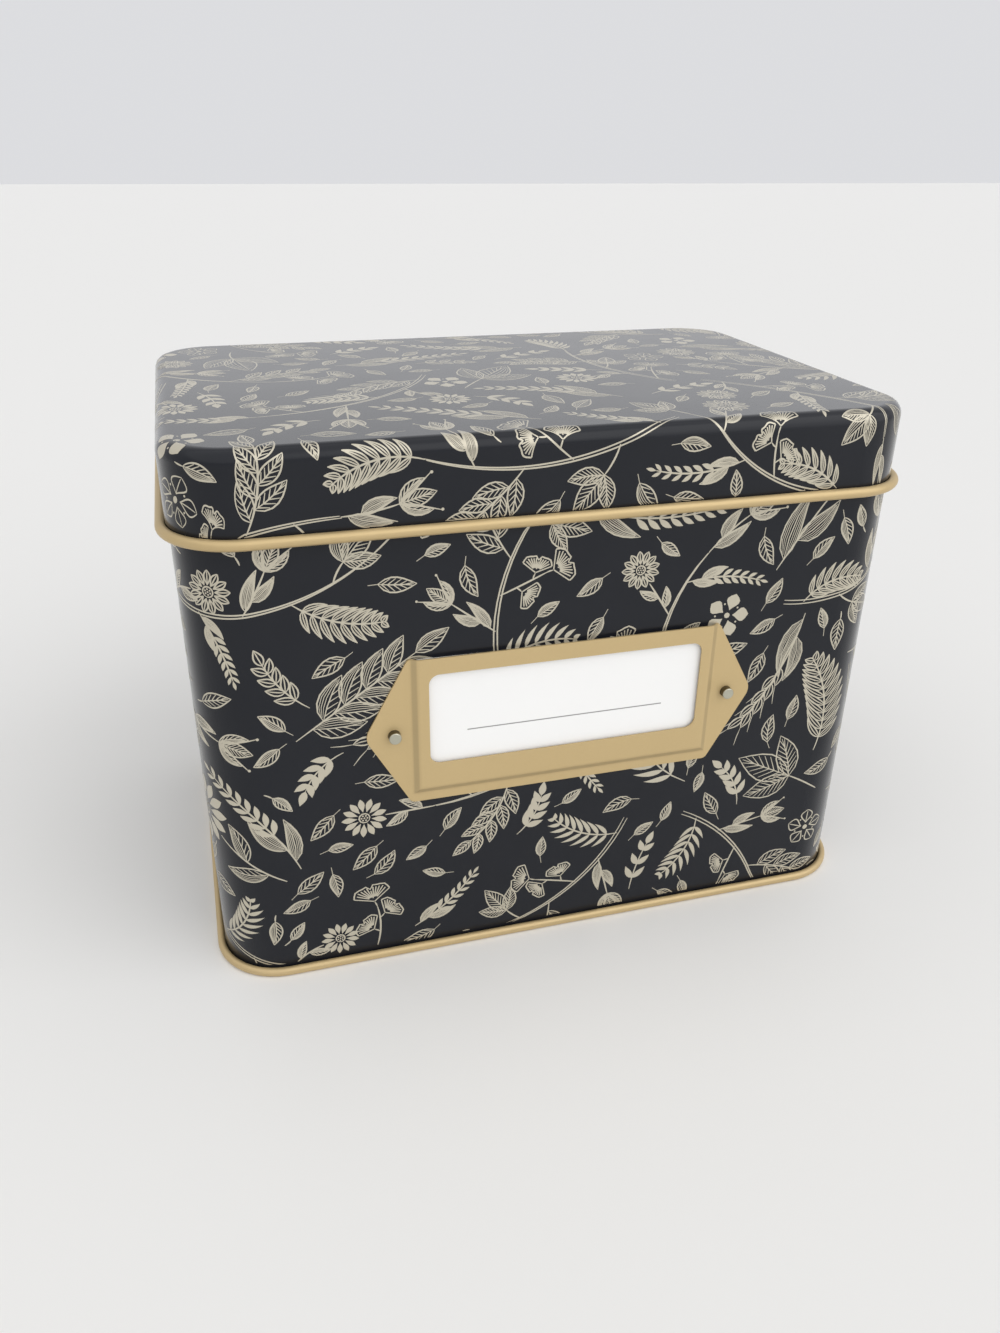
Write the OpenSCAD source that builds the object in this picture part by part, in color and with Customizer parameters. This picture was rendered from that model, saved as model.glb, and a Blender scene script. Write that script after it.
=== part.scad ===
// Tinplate recipe card box: hinged slip lid, rolled base seam, riveted label holder and filed cards.
// Front faces -Y, up is +Z, origin at the middle of the footprint. Millimetres.

/* [Box] */
// Width of the body over its sheet
body_w = 173.2; // [164:0.2:240]
// Depth of the body over its sheet
body_d = 115.4; // [104:0.2:180]
// Height of the closed box
box_h = 134.8; // [130:0.2:180]
// Plan radius of the body's corners
corner_r = 15; // [11:0.5:18]
// Thickness of the tinplate
sheet_t = 0.3; // [0.2:0.05:0.35]

/* [Neck and rim] */
// How far the wall is drawn in under the lid, so that the front skirt clears it as the lid tips
neck_in = 1.5; // [1.5:0.1:2.5]
// Height of the drawn step
neck_step = 1.5; // [1:0.1:2.5]
// Outer radius of the hem curled in at the rim
hem_r = 1.3; // [0.9:0.1:2]
// Turn of that hem in degrees
hem_turn = 285; // [180:5:300]

/* [Lid] */
// Height of the lid, from its bead's middle to its top
lid_h = 19.2; // [14:0.2:19.6]
// Gap between skirt and body
lid_gap = 0.3; // [0.2:0.05:0.6]
// Gap between the rim and the lid's top
lid_rest = 0.15; // [0.1:0.05:0.5]
// Outer radius of the curled bead
bead_r = 1.25; // [1.2:0.05:2.2]
// Gap between the curl's end and the skirt
curl_gap = 0.15; // [0.05:0.05:0.4]
// Outer radius of the lid's top edge
lid_edge_r = 3.2; // [1.5:0.1:5]

/* [Base seam] */
// Height of the rolled seam
seam_h = 2.2; // [2.1:0.1:4]
// How far the seam stands out from the body
seam_out = 2.0; // [1.6:0.05:2.5]
// Radius at the foot of the seam, outside
seam_foot_r = 0.9; // [0.5:0.05:1.1]
// Radius at the foot of the seam, inside
seam_heel_r = 0.5; // [0.4:0.05:0.8]
// Height of the ledge round the base panel, over the floor
ledge_h = 2.7; // [2:0.1:4]
// Width of that ledge
ledge_w = 7; // [4:0.5:8]
// Radius of the bend between the seam and the ledge, inside
ledge_r = 0.5; // [0.3:0.1:1]
// How far the panel's middle is pressed up from the ledge
panel_rise = 0.6; // [0.4:0.1:1.5]
// Width of the pressed slope
panel_slope = 1.2; // [0.8:0.1:2]
// Play between folded layers of sheet
fold_gap = 0.05; // [0.03:0.01:0.08]
// Play at each side of the panel's edge inside the wall's hook
hook_play = 0.075; // [0.05:0.005:0.1]
// Gap between the wall's hook and the seam's foot
hook_lift = 0.15; // [0.05:0.05:0.3]

/* [Side seam] */
// Width of the lock seam's hooks
lock_w = 4.5; // [3:0.1:6]
// Length of the bend that takes the wall in behind the hooks
lock_jog = 1.6; // [1.4:0.1:3]
// How far the lock seam stops short of the base seam and of the neck
lock_end = 3; // [2:0.5:8]

/* [Hinge] */
// Gap between the hinge wire and the curl that holds it
wire_gap = 0.1; // [0.05:0.01:0.2]
// Distance of the wire's ends from the corners' bends
wire_end = 1; // [0.5:0.5:5]
// Running gap of the wire in its loops
wire_play = 0.06; // [0.03:0.01:0.09]
// Width of a hinge loop
loop_w = 10; // [6:0.5:16]
// Distance of each loop's middle from the wire's end
loop_end = 24.5; // [10:0.5:50]
// Length of a loop's foot down the inside of the wall
loop_foot = 10; // [6:0.5:20]
// Radius of the bend behind the slit, inside
loop_bend_r = 0.2; // [0.15:0.05:0.3]
// Play of a loop in its slit in the wall
slit_play = 0.15; // [0.1:0.01:0.2]
// Gap beside and above a loop in its notch in the lid
notch_gap = 0.6; // [0.4:0.1:1.5]

/* [Label holder] */
// Width of the holder's full-height part
holder_w = 77.6; // [60:0.2:100]
// How far each pointed end reaches beyond that part
holder_point = 10.1; // [9.6:0.1:14]
// Height of the holder
holder_h = 38.5; // [37:0.1:50]
// Height of its lower edge over the floor
holder_z = 46.2; // [20:0.1:60]
// Thickness of its sheet
holder_t = 0.5; // [0.4:0.05:0.8]
// Radius of its points
tip_r = 4; // [2:0.2:8]
// Radius of its corners over and under the pocket
holder_corner_r = 1.6; // [0.4:0.1:3]
// Depth of the pocket behind the raised panel
pocket = 1.0; // [0.8:0.05:1.1]
// Width of the pressed step round the panel
step_w = 2.6; // [1.2:0.1:3]
// Width of the flat rim below the panel
rim_below = 1.9; // [1:0.1:4]
// Width of the frame left at each side of the window
window_side = 4.6; // [3.5:0.1:12]
// Height of the frame left over the window
window_top = 4.1; // [2:0.1:10]
// Height of the window's lower edge over the holder's lower edge
window_up = 10.6; // [7:0.1:14]
// Corner radius of the window
window_r = 2.6; // [1:0.1:5]

/* [Rivets] */
// Diameter of a rivet
rivet_d = 2.9; // [2:0.1:3.4]
// How far a rivet's end stands out of the holder
rivet_proud = 1.8; // [0.8:0.1:2]
// Bevel at a rivet's ends
rivet_bevel = 0.15; // [0.1:0.05:0.4]
// Distance of a rivet from the holder's point
rivet_in = 6.4; // [5:0.1:8]
// Play of a rivet in its holes
rivet_play = 0.05; // [0.03:0.01:0.1]
// Diameter of the clenched end inside
clench_d = 5.4; // [4:0.1:7]
// Thickness of the clenched end
clench_t = 0.6; // [0.5:0.1:1]

/* [Label card] */
// Thickness of the label card
label_t = 0.4; // [0.2:0.05:0.5]
// Play of the label card at the sides of the pocket
label_play = 0.4; // [0.3:0.05:1]
// Gap under the label card at the foot of the pocket
label_rest = 0.2; // [0.1:0.05:0.5]
// How far the label card's top stands over the holder, or below it where negative
label_proud = -0.6; // [-1:0.1:3]
// Gap of the label card to the wall behind it
label_back = 0.12; // [0.1:0.01:0.2]
// Small turn of the label card in its loose pocket
label_skew = 0.4; // [0:0.1:0.5]

/* [Cards] */
// Width of a card
card_w = 152.4; // [100:0.2:156]
// Height of a card
card_h = 101.6; // [70:0.2:106]
// Thickness of a recipe card
card_t = 0.35; // [0.2:0.05:0.4]
// Thickness of a divider
divider_t = 0.45; // [0.3:0.05:0.6]
// Gap between two cards of a section
card_gap = 0.1; // [0.05:0.05:0.15]
// Corner radius of cards and dividers
card_r = 2; // [0.5:0.5:5]
// Height of a divider's tab
tab_h = 11; // [6:0.5:13]
// Number of places that the tabs take in turn
tab_count = 4; // [3:1:5]
// Gap between neighbouring tabs
tab_gap = 3; // [1:0.5:8]
// Number of dividers
sections = 12; // [4:1:14]
// Cards behind each divider
cards_each = 2; // [1:1:2]
// Spacing of the sections
section_pitch = 2.4; // [2.2:0.1:2.8]
// Lean of the filed cards against the back
lean = 3; // [1:0.5:6]
// Gap between the cards and the base panel
card_lift = 0.3; // [0.2:0.05:0.5]
// Gap between the rearmost card and what stands behind it
card_rear = 0.4; // [0.3:0.05:1]

/* [Hidden] */
$fn = 64;
// Steps of a curve that is drawn through points
curve_steps = 8;
// Largest turn between two points of the wedge that cuts a bend out of its ring
wedge_turn = 60;
// How far a cut runs past the surface that it opens
past = 1;
// How far two stretches of one sheet lap where they are joined
lap = 0.5;

function two_digits(n) = n < 10 ? str("0", n) : str(n);

PRINTED = [0.16, 0.17, 0.19];
GOLD = [0.77, 0.67, 0.48];
STEEL = [0.78, 0.78, 0.74];
WHITE = [0.96, 0.95, 0.93];
MANILA = [0.86, 0.76, 0.56];
CREAM = [0.95, 0.93, 0.87];

half_w = body_w / 2;
half_d = body_d / 2;

// Lid: planes as distances out from the body's face, and heights over the floor
bead_z = box_h - lid_h;
skirt_in = lid_gap;
bead_mid = skirt_in + bead_r;
curl_end = 360 + acos(-(bead_r - sheet_t - curl_gap) / bead_r);
top_inset = lid_edge_r - skirt_in - sheet_t;

// Neck and rim of the wall
neck_z = bead_z + neck_step;
rim_z = box_h - sheet_t - lid_rest;

// Base seam: the wall's hook inside the roll of the base panel
hook_r = sheet_t / 2 + hook_play;
hook_z = sheet_t + hook_lift + sheet_t + hook_r;
roll_r = (seam_out - hook_play) / 2;
roll_mid = seam_out - roll_r;
roll_z = seam_h - roll_r;
chuck_in = sheet_t * 2 + fold_gap;
ledge_turn = chuck_in + ledge_r;
panel_inset = ledge_turn + ledge_w;
panel_z = ledge_h + panel_rise;

// Lock seam: four layers, counted inward from the wall's own
layer = sheet_t + fold_gap;
lock_r = (2 * layer - sheet_t) / 2;
lock_turn = lock_r + sheet_t;
lock_deep = 3 * layer;
lock_low = seam_h + lock_end;
lock_high = bead_z - lock_end;

// Hinge
wire_r = bead_r - sheet_t - wire_gap;
wire_len = 2 * (half_w - corner_r - wire_end);
loop_x = wire_len / 2 - loop_end;
hinge_y = half_d + bead_mid;
loop_in = wire_r + wire_play;
loop_out = loop_in + sheet_t;
loop_tab_z = bead_z - loop_out;
foot_y = half_d - sheet_t - fold_gap - sheet_t;
loop_wrap = 210;

// Label holder: planes as distances out from the front face
holder_tip_w = holder_w + 2 * holder_point;
panel_out = pocket + holder_t;
panel_foot_z = holder_z + rim_below;
holder_top = holder_z + holder_h;
window_w = holder_w - 2 * window_side;
window_h = holder_h - window_up - window_top;
window_z = holder_z + window_up + window_h / 2;
rivet_x = holder_tip_w / 2 - rivet_in;
rivet_z = holder_z + holder_h / 2;

// Label card: where the pocket's slope stands at the card's face
label_out = label_back + label_t;
slope_in = step_w * acos(1 - 2 * label_out / pocket) / 180;
label_w = holder_w - 2 * (slope_in + label_play);
label_drop = label_w / 2 * sin(label_skew);
label_low = panel_foot_z + slope_in + label_drop + label_rest;
label_high = holder_top + label_proud;

// Filed cards
card_z = panel_z + card_lift;
section_t = divider_t + cards_each * (card_t + card_gap);
tab_w = (card_w - (tab_count + 1) * tab_gap) / tab_count;
rear_y = half_d - sheet_t - max(lock_deep, neck_in) - card_rear;
last_y = rear_y - section_t / cos(lean) - (card_h + tab_h) * tan(lean);

function section_y(i) = last_y - (sections - i) * section_pitch;
function arc(mid, r, a0, a1) =
    [for (i = [0 : curve_steps]) let (a = a0 + (a1 - a0) * i / curve_steps) mid + r * [cos(a), sin(a)]];
// Height of a pressed step at s, from 0 at its foot to 1 at its head
function press(s) = (1 - cos(180 * s)) / 2;
// A pressed step of a given height that starts at x0 and runs by dx
function step_points(x0, dx, h, base) =
    [for (i = [0 : curve_steps]) [x0 + dx * i / curve_steps, base + h * press(i / curve_steps)]];

// Bent stretch of sheet about the origin, from angle a0 to a1, with inner radius r
module bend(r, a0, a1, t = sheet_t) {
    reach = (r + t + past) / cos(wedge_turn / 2);
    turns = ceil((a1 - a0) / wedge_turn);
    intersection() {
        difference() {
            circle(r + t);
            circle(r);
        }
        polygon(concat([[0, 0]],
            [for (i = [0 : turns]) let (a = a0 + (a1 - a0) * i / turns) reach * [cos(a), sin(a)]]));
    }
}

// Sloping stretch of sheet between two points on its lower face
module slope(from, to, t = sheet_t) {
    polygon([from, to, to + [0, t], from + [0, t]]);
}

// Sweeps a section round the body's outline: its x points outward from the wall's face, its y up
module wrap() {
    for (side = [0, 1]) mirror([side, 0, 0]) {
        translate([half_w, 0, 0]) rotate([90, 0, 0])
            linear_extrude(2 * (half_d - corner_r), center = true) children();
        for (end = [0, 1]) mirror([0, end, 0])
            translate([half_w - corner_r, half_d - corner_r, 0])
                rotate_extrude(angle = 90) translate([corner_r, 0]) children();
    }
    for (end = [0, 1]) mirror([0, end, 0]) translate([0, half_d, 0]) rotate([90, 0, 90])
        linear_extrude(2 * (half_w - corner_r), center = true) children();
}

module rounded_rect(w, h, r) {
    square([w - 2 * r, h], center = true);
    square([w, h - 2 * r], center = true);
    for (x = [-1, 1], y = [-1, 1]) translate([x * (w / 2 - r), y * (h / 2 - r)]) circle(r);
}

// Edge of a flat sheet in a swept section, ending lap inside of x
module flat_edge(x, z) {
    translate([x - lap, z]) square([lap, sheet_t]);
}

// Flat sheet that closes the outline at that edge, with its lower face at z
module flat_inside(inset, z) {
    mid = inset + lap / 2;
    translate([0, 0, z]) linear_extrude(sheet_t)
        rounded_rect(body_w - 2 * mid, body_d - 2 * mid, corner_r - mid);
}

// Stands a drawing up against the front wall, from one distance out of its face to another
module on_front(from, to) {
    translate([0, -half_d - from, 0]) rotate([90, 0, 0]) linear_extrude(to - from) children();
}

module at_rivets() {
    for (x = [-rivet_x, rivet_x]) translate([x, rivet_z]) children();
}

// Wall: hook in the base seam, upright, drawn step, neck and hem
module wall_section() {
    translate([hook_r, hook_z]) {
        bend(hook_r, 180, 360);
        translate([hook_r, 0]) square([sheet_t, roll_z - hook_z]);
    }
    translate([-sheet_t, hook_z]) square([sheet_t, bead_z - hook_z]);
    polygon([[0, bead_z], [-neck_in, neck_z], [-neck_in - sheet_t, neck_z], [-sheet_t, bead_z]]);
    translate([-neck_in - sheet_t, neck_z]) square([sheet_t, rim_z - hem_r - neck_z]);
    translate([-neck_in - hem_r, rim_z - hem_r]) bend(hem_r - sheet_t, 0, hem_turn);
}

// Lock seam in plan: x along the wall from the seam's start, y out of the wall's face
module lock_section() {
    // Outer hook
    translate([-lap, -sheet_t]) square([lap + lock_w - lock_turn, sheet_t]);
    translate([lock_w - lock_turn, -sheet_t - lock_r]) bend(lock_r, -90, 90);
    translate([lock_turn, -2 * layer - sheet_t]) square([lock_w - 2 * lock_turn, sheet_t]);
    // Inner hook
    translate([lock_turn, -layer - sheet_t]) square([lock_w - 2 * lock_turn, sheet_t]);
    translate([lock_turn, -layer - sheet_t - lock_r]) bend(lock_r, 90, 270);
    translate([lock_turn, -lock_deep - sheet_t]) square([lock_w - lock_turn, sheet_t]);
    slope([lock_w, -lock_deep - sheet_t], [lock_w + lock_jog, -sheet_t]);
    translate([lock_w + lock_jog, -sheet_t]) square([lap, sheet_t]);
}

module lock_place() {
    translate([-(lock_w + lock_jog) / 2, half_d, lock_low]) children();
}

module body_wall() {
    color(PRINTED) {
        difference() {
            wrap() wall_section();
            lock_place() translate([0, -sheet_t - past, 0])
                cube([lock_w + lock_jog, sheet_t + 2 * past, lock_high - lock_low]);
            on_front(-sheet_t - past, past) at_rivets() circle(d = rivet_d + 2 * rivet_play);
            for (x = [-loop_x, loop_x])
                translate([x - loop_w / 2 - slit_play, half_d - sheet_t - past, loop_tab_z - slit_play])
                    cube([loop_w + 2 * slit_play, sheet_t + 2 * past, sheet_t + 2 * slit_play]);
        }
        lock_place() linear_extrude(lock_high - lock_low) lock_section();
    }
}

// Base panel: roll of the seam, foot, wall behind the hook, ledge and pressed slope
module base_section() {
    translate([roll_mid, roll_z]) bend(roll_r - sheet_t, 0, 180);
    translate([roll_mid - roll_r, hook_z]) square([sheet_t, roll_z - hook_z]);
    translate([seam_out - sheet_t, seam_foot_r]) square([sheet_t, roll_z - seam_foot_r]);
    translate([seam_out - seam_foot_r, seam_foot_r]) bend(seam_foot_r - sheet_t, 270, 360);
    translate([seam_heel_r - chuck_in, 0])
        square([seam_out - seam_foot_r + chuck_in - seam_heel_r, sheet_t]);
    translate([seam_heel_r - chuck_in, seam_heel_r]) bend(seam_heel_r - sheet_t, 180, 270);
    translate([-chuck_in, seam_heel_r]) square([sheet_t, ledge_h - sheet_t - ledge_r - seam_heel_r]);
    translate([-ledge_turn, ledge_h - sheet_t - ledge_r]) bend(ledge_r, 0, 90);
    translate([-panel_inset, ledge_h - sheet_t]) square([ledge_w, sheet_t]);
    slope([-panel_inset - panel_slope, panel_z - sheet_t], [-panel_inset, ledge_h - sheet_t]);
    flat_edge(-panel_inset - panel_slope, panel_z - sheet_t);
}

module base_panel() {
    color(GOLD) {
        wrap() base_section();
        flat_inside(panel_inset + panel_slope, panel_z - sheet_t);
    }
}

// Lid: curled bead, skirt and rounded top edge
module lid_section() {
    translate([bead_mid, bead_z]) bend(bead_r - sheet_t, 180, curl_end);
    translate([skirt_in, bead_z]) square([sheet_t, lid_h - lid_edge_r]);
    translate([-top_inset, box_h - lid_edge_r]) bend(lid_edge_r - sheet_t, 0, 90);
    flat_edge(-top_inset, box_h - sheet_t);
}

module lid() {
    notch_w = loop_w + 2 * notch_gap;
    notch_low = bead_z - bead_r - past;
    color(PRINTED) difference() {
        union() {
            wrap() lid_section();
            flat_inside(top_inset, box_h - sheet_t);
        }
        for (x = [-loop_x, loop_x]) translate([x - notch_w / 2, half_d, notch_low])
            cube([notch_w, bead_mid + bead_r + past, bead_z + loop_out + notch_gap - notch_low]);
    }
}

module hinge_wire() {
    color(STEEL) translate([0, hinge_y, bead_z]) rotate([0, 90, 0])
        cylinder(r = wire_r, h = wire_len, center = true);
}

// Hinge loop from the side: x out of the back, y up
module loop_section() {
    bend_y = foot_y + sheet_t + loop_bend_r;
    translate([hinge_y, bead_z]) bend(loop_in, -90, loop_wrap);
    translate([bend_y, loop_tab_z]) square([hinge_y - bend_y, sheet_t]);
    translate([bend_y, loop_tab_z - loop_bend_r]) bend(loop_bend_r, 90, 180);
    translate([foot_y, loop_tab_z - loop_bend_r - loop_foot]) square([sheet_t, loop_foot]);
}

module hinge_loop(x) {
    color(GOLD) translate([x, 0, 0]) rotate([90, 0, 90])
        linear_extrude(loop_w, center = true) loop_section();
}

// Direction at an angle
function toward(a) = [cos(a), sin(a)];
// Round corner of a plate, between two edges whose normals point out at angles a0 and a1
function round_corner(corner, r, a0, a1) =
    arc(corner - r * (toward(a0) + toward(a1)) / (1 + toward(a0) * toward(a1)), r, a0, a1);

// Holder's outline: a rounded point on each side, and round corners over and under the pocket
module holder_outline() {
    tip = [holder_tip_w / 2 - tip_r, 0];
    corner = [holder_w / 2, holder_h / 2];
    ahead = corner - tip;
    touch = atan2(ahead[1], ahead[0]) - acos(tip_r / norm(ahead));
    side = concat(round_corner([corner[0], -corner[1]], holder_corner_r, -90, -touch),
        arc(tip, tip_r, -touch, touch), round_corner(corner, holder_corner_r, touch, 90));
    translate([0, rivet_z])
        polygon(concat(side, [for (i = [len(side) - 1 : -1 : 0]) [-side[i][0], side[i][1]]]));
}

// Block behind the raised panel's face, with its pressed step at both sides and the foot: it
// starts back behind the wall's face and stands base out of it outside the step
module pressed_block(base, back, top) {
    left = step_points(-holder_w / 2, step_w, pocket, base);
    across = concat([[-holder_w / 2, -back]], left,
        [for (i = [len(left) - 1 : -1 : 0]) [-left[i][0], left[i][1]]], [[holder_w / 2, -back]]);
    upright = concat([[panel_foot_z, -back]], step_points(panel_foot_z, step_w, pocket, base),
        [[top, base + pocket], [top, -back]]);
    translate([0, -half_d, 0]) mirror([0, 1, 0]) intersection() {
        linear_extrude(top) polygon(across);
        rotate([90, 0, 90]) linear_extrude(holder_w, center = true)
            polygon([for (p = upright) [p[1], p[0]]]);
    }
}

module label_holder() {
    color(GOLD) difference() {
        intersection() {
            union() {
                on_front(0, holder_t) holder_outline();
                pressed_block(holder_t, 0, holder_top);
            }
            on_front(-past, panel_out + past) holder_outline();
        }
        pressed_block(0, past, holder_top + past);
        on_front(-past, panel_out + past) translate([0, window_z])
            rounded_rect(window_w, window_h, window_r);
        on_front(-past, holder_t + past) at_rivets() circle(d = rivet_d + 2 * rivet_play);
    }
}

module holder_rivets() {
    shank = rivet_d / 2;
    clench = clench_d / 2;
    inside = -sheet_t - fold_gap;
    inner_end = inside - clench_t;
    outer_end = holder_t + rivet_proud;
    color(STEEL) for (x = [-rivet_x, rivet_x])
        translate([x, -half_d, rivet_z]) rotate([90, 0, 0]) rotate_extrude()
            polygon([[0, inner_end], [clench - rivet_bevel, inner_end], [clench, inner_end + rivet_bevel],
                [clench, inside], [shank, inside], [shank, outer_end - rivet_bevel],
                [shank - rivet_bevel, outer_end], [0, outer_end]]);
}

module label_card() {
    color(WHITE) on_front(label_back, label_out) translate([0, (label_low + label_high) / 2])
        rotate(-label_skew) square([label_w, label_high - label_low], center = true);
}

// Stands a card's drawing in its section: front face y0 behind the section's hinge line
module filed(section, y0, t) {
    translate([0, section_y(section), card_z]) rotate([-lean, 0, 0]) translate([0, y0 + t, 0])
        rotate([90, 0, 0]) linear_extrude(t) children();
}

module card_outline() {
    translate([0, card_h / 2]) rounded_rect(card_w, card_h, card_r);
}

module divider(i) {
    place = (i - 1) % tab_count;
    tab_x = -card_w / 2 + tab_gap + tab_w / 2 + place * (tab_w + tab_gap);
    color(MANILA) filed(i, 0, divider_t) {
        card_outline();
        translate([tab_x, card_h + tab_h / 2 - card_r])
            rounded_rect(tab_w, tab_h + 2 * card_r, card_r);
    }
}

module recipe_card(n) {
    place = (n - 1) % cards_each;
    color(CREAM) filed(ceil(n / cards_each), divider_t + card_gap + place * (card_t + card_gap), card_t)
        card_outline();
}

body_wall();
base_panel();
lid();
hinge_wire();
hinge_loop(-loop_x);  // hinge_loop_left
hinge_loop(loop_x);  // hinge_loop_right
label_holder();
holder_rivets();
label_card();
for (i = [1 : sections])
    divider(i);
for (n = [1 : sections * cards_each])
    recipe_card(n);
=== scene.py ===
# %% [markdown]
# # A tinplate recipe card box, finished in Blender
#
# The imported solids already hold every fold, bead, rivet and card of this box. What is left is what a ruler can't
# measure: the satin black ground, the pale gold drawing printed on it, the lacquer on the beads, board and paper.
# Each step says what the real thing is, how it could be made, and why it is made this way here.

import math

import bpy
import numpy as np
from mathutils import Matrix, Vector


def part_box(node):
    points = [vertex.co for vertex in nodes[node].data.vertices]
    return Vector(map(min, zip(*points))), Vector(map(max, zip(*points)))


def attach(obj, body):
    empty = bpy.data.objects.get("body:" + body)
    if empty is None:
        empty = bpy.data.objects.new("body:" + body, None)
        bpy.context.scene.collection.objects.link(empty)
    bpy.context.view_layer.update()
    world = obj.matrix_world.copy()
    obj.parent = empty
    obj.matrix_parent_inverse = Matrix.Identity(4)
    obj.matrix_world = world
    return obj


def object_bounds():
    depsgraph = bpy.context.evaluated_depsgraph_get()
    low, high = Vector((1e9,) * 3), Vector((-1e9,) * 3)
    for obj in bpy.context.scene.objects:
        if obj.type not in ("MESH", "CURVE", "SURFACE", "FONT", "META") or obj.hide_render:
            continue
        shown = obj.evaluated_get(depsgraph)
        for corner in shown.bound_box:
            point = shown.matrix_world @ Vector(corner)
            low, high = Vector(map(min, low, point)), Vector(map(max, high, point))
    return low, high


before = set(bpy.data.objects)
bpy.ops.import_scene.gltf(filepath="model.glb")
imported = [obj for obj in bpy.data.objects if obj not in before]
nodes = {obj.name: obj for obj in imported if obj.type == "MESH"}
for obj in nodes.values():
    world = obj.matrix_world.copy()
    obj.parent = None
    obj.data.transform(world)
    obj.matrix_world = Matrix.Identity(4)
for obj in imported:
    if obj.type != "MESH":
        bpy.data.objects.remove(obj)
cad_low, cad_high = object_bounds()
MM = 0.001
print("solids", len(nodes), "box in mm", [round(v / MM, 1) for v in cad_high - cad_low])

# %% [markdown]
# ## Reading the tin's outline from its solids
#
# The drawing has to lie on the walls to a few hundredths of a millimetre, so its surfaces aren't typed in again.
# The wall's bend lines are vertices of the solids, and their largest reach gives the outline's half sizes. Where
# the front edge stops being straight, its corner radius begins.

# %% Points and outlines of the solids
TOUCH = 0.01  # mm within which two places count as one
TINY = 1e-9  # stands in for a length of nothing where it would be divided by


def points_of(node):
    """The node's vertices as rows of x, y, z in millimetres."""
    mesh = nodes[node].data
    flat = np.empty(len(mesh.vertices) * 3, np.float32)
    mesh.vertices.foreach_get("co", flat)
    return flat.reshape(-1, 3).astype(float) / MM


def outline_at(node, height):
    """Half width, half depth and corner radius of the node's outer edge at a height."""
    points = points_of(node)
    edge = np.abs(points[np.abs(points[:, 2] - height) < TOUCH, :2])
    half_w, half_d = edge.max(0)
    straight = edge[edge[:, 1] > half_d - TOUCH, 0].max()
    return half_w, half_d, half_w - straight


print("the wall has", len(points_of("body_wall")), "vertices, the lid", len(points_of("lid")))

# %% [markdown]
# An outline is used in two ways. The wall's print is laid along it by the distance walked, and the lid's print and
# the masks need the distance from it.

# %% A rounded rectangle, walked and measured from


class Outline:
    """A rounded rectangle in plan, walked from the middle of the back, round by the left. Straights and corners
    take turns: each has its start along the walk, its first point and its first heading."""

    def __init__(self, half_w, half_d, radius):
        self.half, self.radius = np.array([half_w, half_d]), radius
        a, b = self.half - radius  # half lengths of the straights
        quarter = math.pi / 2 * radius
        self.turns = np.array([0, 1, 0, 1, 0, 1, 0, 1, 0])
        lengths = np.array([a, quarter, 2 * b, quarter, 2 * a, quarter, 2 * b, quarter, a])
        self.starts = np.concatenate([[0], np.cumsum(lengths)[:-1]])
        self.length = lengths.sum()
        self.headings = math.pi + math.pi / 2 * (np.cumsum(self.turns) - self.turns)
        w, d = half_w, half_d
        self.corners = np.array([[0, d], [-a, d], [-w, b], [-w, -b], [-a, -d], [a, -d], [w, -b], [w, b], [a, d]])

    def at(self, u):
        """Point and outward normal at u along the walk. On a straight the point moves along the heading. On a
        corner it moves by the radius times the change of the normal."""
        i = np.clip(np.searchsorted(self.starts, u, "right") - 1, 0, len(self.starts) - 1)
        run = (u - self.starts[i])[..., None]
        first = self.headings[i]
        now = first + self.turns[i] * run[..., 0] / self.radius
        normal = np.stack([np.sin(now), -np.cos(now)], -1)
        normal0 = np.stack([np.sin(first), -np.cos(first)], -1)
        ahead = np.stack([np.cos(first), np.sin(first)], -1)
        step = np.where(self.turns[i][..., None] > 0, self.radius * (normal - normal0), run * ahead)
        return self.corners[i] + step, normal

    def nearest(self, xy):
        """Signed distance out of the outline, the nearest point on it and the normal there: past a corner's
        centre the normal points away from that centre, and elsewhere along the nearer axis."""
        q = np.abs(xy) - (self.half - self.radius)
        beyond = np.maximum(q, 0)
        reach = np.linalg.norm(beyond, axis=-1)
        away = beyond / np.maximum(reach, TINY)[..., None]
        axis = np.where((q[..., 0] > q[..., 1])[..., None], [1.0, 0.0], [0.0, 1.0])
        normal = np.where((reach > TINY)[..., None], away, axis) * np.where(xy < 0, -1.0, 1.0)
        distance = reach + np.minimum(q.max(-1), 0) - self.radius
        return distance, xy - normal * distance[..., None], normal


# %% The sizes that the rest hangs on
wire_low, wire_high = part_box("hinge_wire")
BEAD_Z = (wire_low.z + wire_high.z) / 2 / MM
TOP_Z = cad_high.z / MM
OVER_BEAD, UNDER_TOP = 5.0, 1.0  # mm from the bead and from the top, between which the skirt is straight
wall = Outline(*outline_at("body_wall", BEAD_Z))
top = Outline(*outline_at("lid", TOP_Z))
lid_points = points_of("lid")
skirt = lid_points[(lid_points[:, 2] > BEAD_Z + OVER_BEAD) & (lid_points[:, 2] < TOP_Z - UNDER_TOP)]
EDGE_R = np.abs(skirt[:, 0]).max() - top.half[0]
print("wall", wall.half, wall.radius, "length", round(wall.length, 1), "lid edge radius", round(EDGE_R, 2))

# %% [markdown]
# ## The camera
#
# The picture was taken from the front left and above, with a wide lens close by, so the box tapers strongly
# towards its foot. Five numbers describe that: where the camera stood, how it was turned, tilted and rolled, and
# its focal length in pixels of a 1000 x 1333 picture. They came from fitting the box's own edges.

# %% Camera
PICTURE_W, PICTURE_H = 1000, 1333
CAMERA_AT = np.array([-78.60, -266.70, 191.73]) * MM
CAMERA_YAW, CAMERA_PITCH, CAMERA_ROLL = np.radians([16.45, 27.153, 0.731])
FOCAL_PX = 1050.72
SENSOR_MM = 36.0
NEAREST, FARTHEST = 0.01, 50  # metres between which the camera sees


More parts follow.
